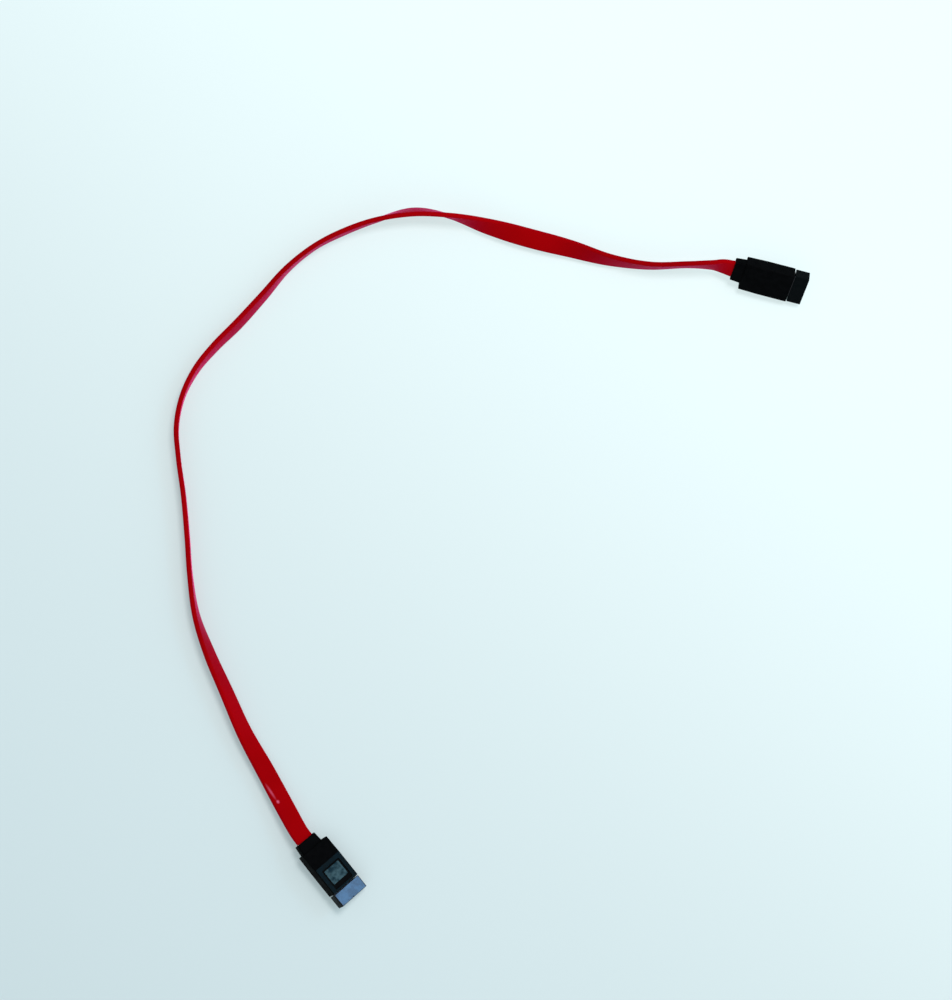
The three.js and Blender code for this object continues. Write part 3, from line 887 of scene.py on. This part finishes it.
def make_ribbon(material):
    """The ribbon along its route, which reaches a little way into both necks."""
    points = route_points(ROUTE, ROUTE_STEPS)
    first, last = points[0][0], points[-1][0]
    into_left = (first - points[1][0]).normalized() * NECK_GRIP
    into_right = (last - points[-2][0]).normalized() * NECK_GRIP
    whole = [(first + into_left, points[0][1])] + points + [(last + into_right, points[-1][1])]

    curve = bpy.data.curves.new("ribbon_jacket", "CURVE")
    curve.dimensions = "3D"
    curve.twist_mode = "Z_UP"
    spline = curve.splines.new("POLY")
    spline.points.add(len(whole) - 1)
    for point, (place, twist) in zip(spline.points, whole):
        point.co = (*place, 1)
        point.tilt = twist
    ribbon = add_object("ribbon_jacket", curve)
    ribbon = run_tree(ribbon, make_sweep_tree(), Material=material)
    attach(ribbon, BODY)
    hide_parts("ribbon_cable")


# Overmould


def body_half_height(x):
    """Half the body's height at x: its rear slopes up to the flat part."""
    share = (x - NECK_LENGTH) / (FLAT_START - NECK_LENGTH)
    return BODY_HEIGHT / 2 - BODY_REAR_DROP * (1 - min(max(share, 0), 1))


def body_outline(x, inset):
    """The body's section at x, drawn in all round."""
    height = 2 * (body_half_height(x) - inset)
    return rounded_rectangle(BODY_WIDTH - 2 * inset, height, BODY_CORNER - inset / 2)


def neck_outline(x, inset):
    """The neck's section at x, which grows towards the body, drawn in all round."""
    share = x / NECK_FRONT_AT
    width, height = (rear + (front - rear) * share for rear, front in zip(NECK_REAR, NECK_FRONT))
    outline = rounded_rectangle(width - 2 * inset, height - 2 * inset, NECK_CORNER - inset / 2)
    return moved(outline, ROW_MIDDLE)


def build_body():
    """The cover's body before anything is cut from it, with its sloping rear."""
    stations = sorted(rounded_ends(NECK_LENGTH, BODY_FRONT, BODY_ROUNDING) + [(FLAT_START, 0)])
    return loft("overmould", [(x, body_outline(x, inset)) for x, inset in stations])


def build_neck():
    """The tapering neck, rounded at its rear only, because its front is inside the body."""
    ends = rounded_ends(0, NECK_FRONT_AT, NECK_ROUNDING)
    stations = [station for station in ends if station[0] < NECK_FRONT_AT / 2] + [(NECK_FRONT_AT, 0)]
    return loft("neck", [(x, neck_outline(x, inset)) for x, inset in stations])


def cavity_cutter():
    """The room for the housing's block and the wires, open to the front."""
    half = CAVITY_WIDTH / 2
    outline = box_outline(ROW_MIDDLE - half, ROW_MIDDLE + half, CAVITY_BOTTOM, CAVITY_TOP)
    return bar("cavity", outline, JACKET_FRONT, BODY_FRONT + OVERCUT)


def passage_cutter():
    """The way of the ribbon's end through the neck, wider by a bond all round."""
    width, thickness, edge = (size / MM for size in (RIBBON_WIDTH, RIBBON_THICKNESS, RIBBON_EDGE))
    outline = rounded_rectangle(width + 2 * BOND, thickness + 2 * BOND, edge + BOND)
    return bar("passage", moved(outline, ROW_MIDDLE), -OVERCUT, JACKET_FRONT + BOND)


def panel_cutter():
    """The groove of the square panel, which leaves its pad standing."""
    floor, top = BODY_HEIGHT / 2 - PANEL_DEPTH, BODY_HEIGHT / 2 + OVERCUT
    square = rounded_rectangle(PANEL_SIZE, PANEL_SIZE, PANEL_CORNER, PANEL_STEPS)
    recess = bar("recess", moved(square, PANEL_MIDDLE), floor, top, "Z")
    pad = rounded_rectangle(PAD_LENGTH, PAD_WIDTH, PANEL_CORNER, PANEL_STEPS)
    pad = bar("pad", moved(pad, *PAD_MIDDLE), floor - OVERCUT, top + OVERCUT, "Z")
    return combine(recess, pad, "DIFFERENCE")


def build_overmould(finishes):
    """The cover: a body with a sloping rear, a tapering neck and a square panel with a bare pad."""
    cover = combine(build_body(), build_neck(), "UNION")
    for make_cutter in (cavity_cutter, passage_cutter, panel_cutter):
        cover = combine(cover, make_cutter(), "DIFFERENCE")
    cover = soften(cover, MOULDED_EDGE, crease=FLAT_START)
    paint_overmould(cover.data, finishes)
    return cover


def all_within(corners, middle, size):
    """Whether all corners lie over the rectangle of that middle and size."""
    reach_x = max(abs(corner.x - middle[0]) for corner in corners) - size[0] / 2
    reach_y = max(abs(corner.y - middle[1]) for corner in corners) - size[1] / 2
    return max(reach_x, reach_y) < NEARLY


def paint_overmould(mesh, finishes):
    """Gives the flat of the panelled face, its groove and its pad their own finishes."""
    mesh.materials.clear()
    for name in ("matte", "satin", "ring", "pad"):
        mesh.materials.append(finishes[name])
    matte, satin, ring, pad = range(4)
    for face in mesh.polygons:
        face.material_index = matte
        height = face.center.z
        if height < BODY_HEIGHT / 2 - PANEL_DEPTH - NEARLY or face.center.x < FLAT_START:
            continue
        corners = [mesh.vertices[at].co for at in face.vertices]
        in_panel = all_within(corners, (PANEL_MIDDLE, 0), (PANEL_SIZE, PANEL_SIZE))
        on_pad = all_within(corners, PAD_MIDDLE, (PAD_LENGTH, PAD_WIDTH))
        on_top = height > BODY_HEIGHT / 2 - MOULDED_EDGE
        if on_top and on_pad:
            face.material_index = pad
        elif on_top:
            face.material_index = satin
        elif in_panel:
            face.material_index = ring


# Contact housing


def slot_outline(grow):
    """The mouth's slot: a long bar with a short key leg at one end."""
    left, right = -SLOT_WIDTH / 2 - grow, SLOT_WIDTH / 2 + grow
    leg = SLOT_WIDTH / 2 - KEY_WIDTH - grow
    floor, foot = SLOT_FLOOR - grow, SLOT_FLOOR - KEY_DROP - grow
    top = SLOT_CEILING + grow
    return [(left, floor), (leg, floor), (leg, foot), (right, foot), (right, top), (left, top)]


def slot_cutter():
    """The keyed slot itself, open to the front."""
    return bar("slot", slot_outline(0), NOSE_FRONT - SLOT_DEPTH, NOSE_FRONT + OVERCUT)


def flare_cutter():
    """The slope round the slot's mouth that leads a plug in."""
    inner = (NOSE_FRONT - MOUTH_FLARE, slot_outline(0))
    outer = (NOSE_FRONT + MOUTH_FLARE, slot_outline(2 * MOUTH_FLARE))
    return loft("flare", [inner, outer])


def notch_cutter():
    """The small notch in the nose's front edge, over the middle of the contacts."""
    half = NOTCH_WIDTH / 2
    top = NOSE_HEIGHT / 2
    outline = box_outline(ROW_MIDDLE - half, ROW_MIDDLE + half, top - NOTCH_DEPTH, top + OVERCUT)
    return bar("notch", outline, NOSE_FRONT - NOTCH_LENGTH, NOSE_FRONT + OVERCUT)


def channel_cutter():
    """The way of one contact through the housing: a low passage, then an open channel."""
    rear, front = BLOCK_REAR - OVERCUT, NOSE_FRONT + OVERCUT
    outline = [
        (rear, CHANNEL_FLOOR),
        (front, CHANNEL_FLOOR),
        (front, CHANNEL_TOP),
        (CHANNEL_REAR, CHANNEL_TOP),
        (CHANNEL_REAR, PASSAGE_TOP),
        (rear, PASSAGE_TOP),
    ]
    return bar("channel", outline, -CHANNEL_WIDTH / 2, CHANNEL_WIDTH / 2, "Y")


def nose_outline(inset):
    """The nose's section, drawn in all round."""
    width, height = NOSE_WIDTH - 2 * inset, NOSE_HEIGHT - 2 * inset
    return rounded_rectangle(width, height, NOSE_CORNER - inset)


def build_housing(finishes, row_tree):
    """The moulded nose with its keyed slot, and the block behind it with a channel per contact."""
    stations = rounded_ends(NOSE_REAR, NOSE_FRONT, NOSE_ROUNDING)
    housing = loft("housing", [(x, nose_outline(inset)) for x, inset in stations])
    half = BLOCK_WIDTH / 2
    block = box_outline(ROW_MIDDLE - half, ROW_MIDDLE + half, BLOCK_BOTTOM, BLOCK_TOP)
    housing = combine(housing, bar("block", block, BLOCK_REAR, NOSE_REAR + OVERCUT), "UNION")

    channels = run_tree(channel_cutter(), row_tree, Material=finishes["housing"])
    channels.data.transform(Matrix.Translation((0, ROW_MIDDLE, 0)))
    for cutter in (channels, slot_cutter(), flare_cutter(), notch_cutter()):
        housing = combine(housing, cutter, "DIFFERENCE")
    housing = soften(housing, FINE_EDGE)
    paint_housing(housing.data, finishes)
    return housing


def paint_housing(mesh, finishes):
    """Gives the nose's side faces and its underside a duller finish than the rest."""
    mesh.materials.clear()
    mesh.materials.append(finishes["housing"])
    mesh.materials.append(finishes["housing_side"])
    for face in mesh.polygons:
        across, up = face.normal.y, face.normal.z
        dull = abs(across) > STEEP or (up < -STEEP and face.center.z < 0)
        face.material_index = int(dull and face.center.x > NOSE_REAR)


# Contacts


def beam_line():
    """The middle of a contact's strip: its tail and shank, then the beam that rises to a crown."""
    root = CONTACT_TIP - SPRING_LENGTH
    line = [Vector((TAIL_REAR, CONTACT_MIDDLE))]
    last = len(BEAM_SHAPE) - 1
    for at in range(last):
        four = [Vector(BEAM_SHAPE[min(max(near, 0), last)]) for near in range(at - 1, at + 3)]
        for step in range(BEAM_STEPS):
            along, up = spline_value(*four, (1, 1, 1), step / BEAM_STEPS)
            line.append(Vector((root + along * SPRING_LENGTH, CONTACT_MIDDLE + up * SPRING_RISE)))
    along, up = BEAM_SHAPE[-1]
    line.append(Vector((root + along * SPRING_LENGTH, CONTACT_MIDDLE + up * SPRING_RISE)))
    return line


def contact_strip():
    """One spring strip along its line, narrower at its tip, with a UV map in metres."""
    line = beam_line()
    mesh = bmesh.new()
    layer = mesh.loops.layers.uv.new("UVMap")
    rings = []
    for at, point in enumerate(line):
        along = (line[min(at + 1, len(line) - 1)] - line[max(at - 1, 0)]).normalized()
        normal = Vector((-along.y, along.x)) * CONTACT_THICKNESS / 2
        narrowing = CONTACT_TAPER * max(0, 1 - (CONTACT_TIP - point.x) / TIP_LENGTH)
        half = CONTACT_WIDTH / 2 - narrowing
        upper, lower = point + normal, point - normal
        corners = [(upper, -half), (upper, half), (lower, half), (lower, -half)]
        rings.append([mesh.verts.new((corner.x, y, corner.y)) for corner, y in corners])
    close_rings(mesh, rings)
    for face in mesh.faces:
        for corner in face.loops:
            x, y, z = corner.vert.co
            corner[layer].uv = (x * MM, (y + z) * MM)
    return finished_object("contacts", mesh)


def build_contacts(finishes, row_tree):
    """The row of gold spring strips side by side."""
    strip = soften(contact_strip(), CONTACT_EDGE)
    row = run_tree(strip, row_tree, Material=finishes["contact"])
    row.data.transform(Matrix.Translation((0, ROW_MIDDLE, 0)))
    return row


# Placing


def placement(side):
    """Takes a receptacle's own millimetres to its place, which its jacket end marks in the frame."""
    roll, pitch, heading = (math.radians(angle) for angle in TURN[side])
    turn = Euler((roll, pitch, heading), "XYZ").to_matrix().to_4x4()
    low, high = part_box(f"{side}_jacket_end")
    own_middle = Vector((JACKET_FRONT / 2, ROW_MIDDLE, 0)) * MM
    at = (low + high) / 2 - turn @ own_middle
    return Matrix.Translation(at) @ turn @ Matrix.Scale(MM, 4)


def place_on_both(template, name, words):
    """Copies a finished piece to both receptacles, where it stands for the nodes that words name."""
    for side in SIDES:
        mesh = template.data.copy()
        mesh.transform(placement(side))
        piece = add_object(f"{side}_{name}", mesh)
        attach(piece, BODY)
        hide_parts(*[node for node in frame["nodes"] if node.startswith(f"{side}_{words}")])
    bpy.data.objects.remove(template)


def finish_inner_nodes(finishes):
    """Gives the nodes that keep their own solids the finish that their names hold."""
    for name, node in frame["nodes"].items():
        for words in ("jacket_end", "signal_core", "ground_wire", "termination_cap"):
            if words in name:
                node.data.materials.clear()
                node.data.materials.append(finishes[words])


bpy.context.scene.view_settings.view_transform = "Standard"
make_camera()
FINISHES = make_finishes()
make_ribbon(FINISHES["jacket"])
make_world()
make_table(make_table_top())
make_lamp("tube", TUBE_AT, TABLE_MIDDLE, ALONG_X, TUBE_SIZE, TUBE_POWER, TUBE_COLOUR)
make_lamp("window", WINDOW_AT, TABLE_MIDDLE, ALONG_Y, WINDOW_SIZE, WINDOW_POWER, WINDOW_COLOUR)
make_lamp("skylight", SKY_AT, SKY_TARGET, ALONG_Y, SKY_SIZE, SKY_POWER, SKY_COLOUR)
ROW_TREE = make_row_tree()
place_on_both(build_overmould(FINISHES), "overmould_shell", "overmould")
place_on_both(build_housing(FINISHES, ROW_TREE), "housing_moulding", "contact_housing")
place_on_both(build_contacts(FINISHES, ROW_TREE), "contact_strips", "contact_")
finish_inner_nodes(FINISHES)
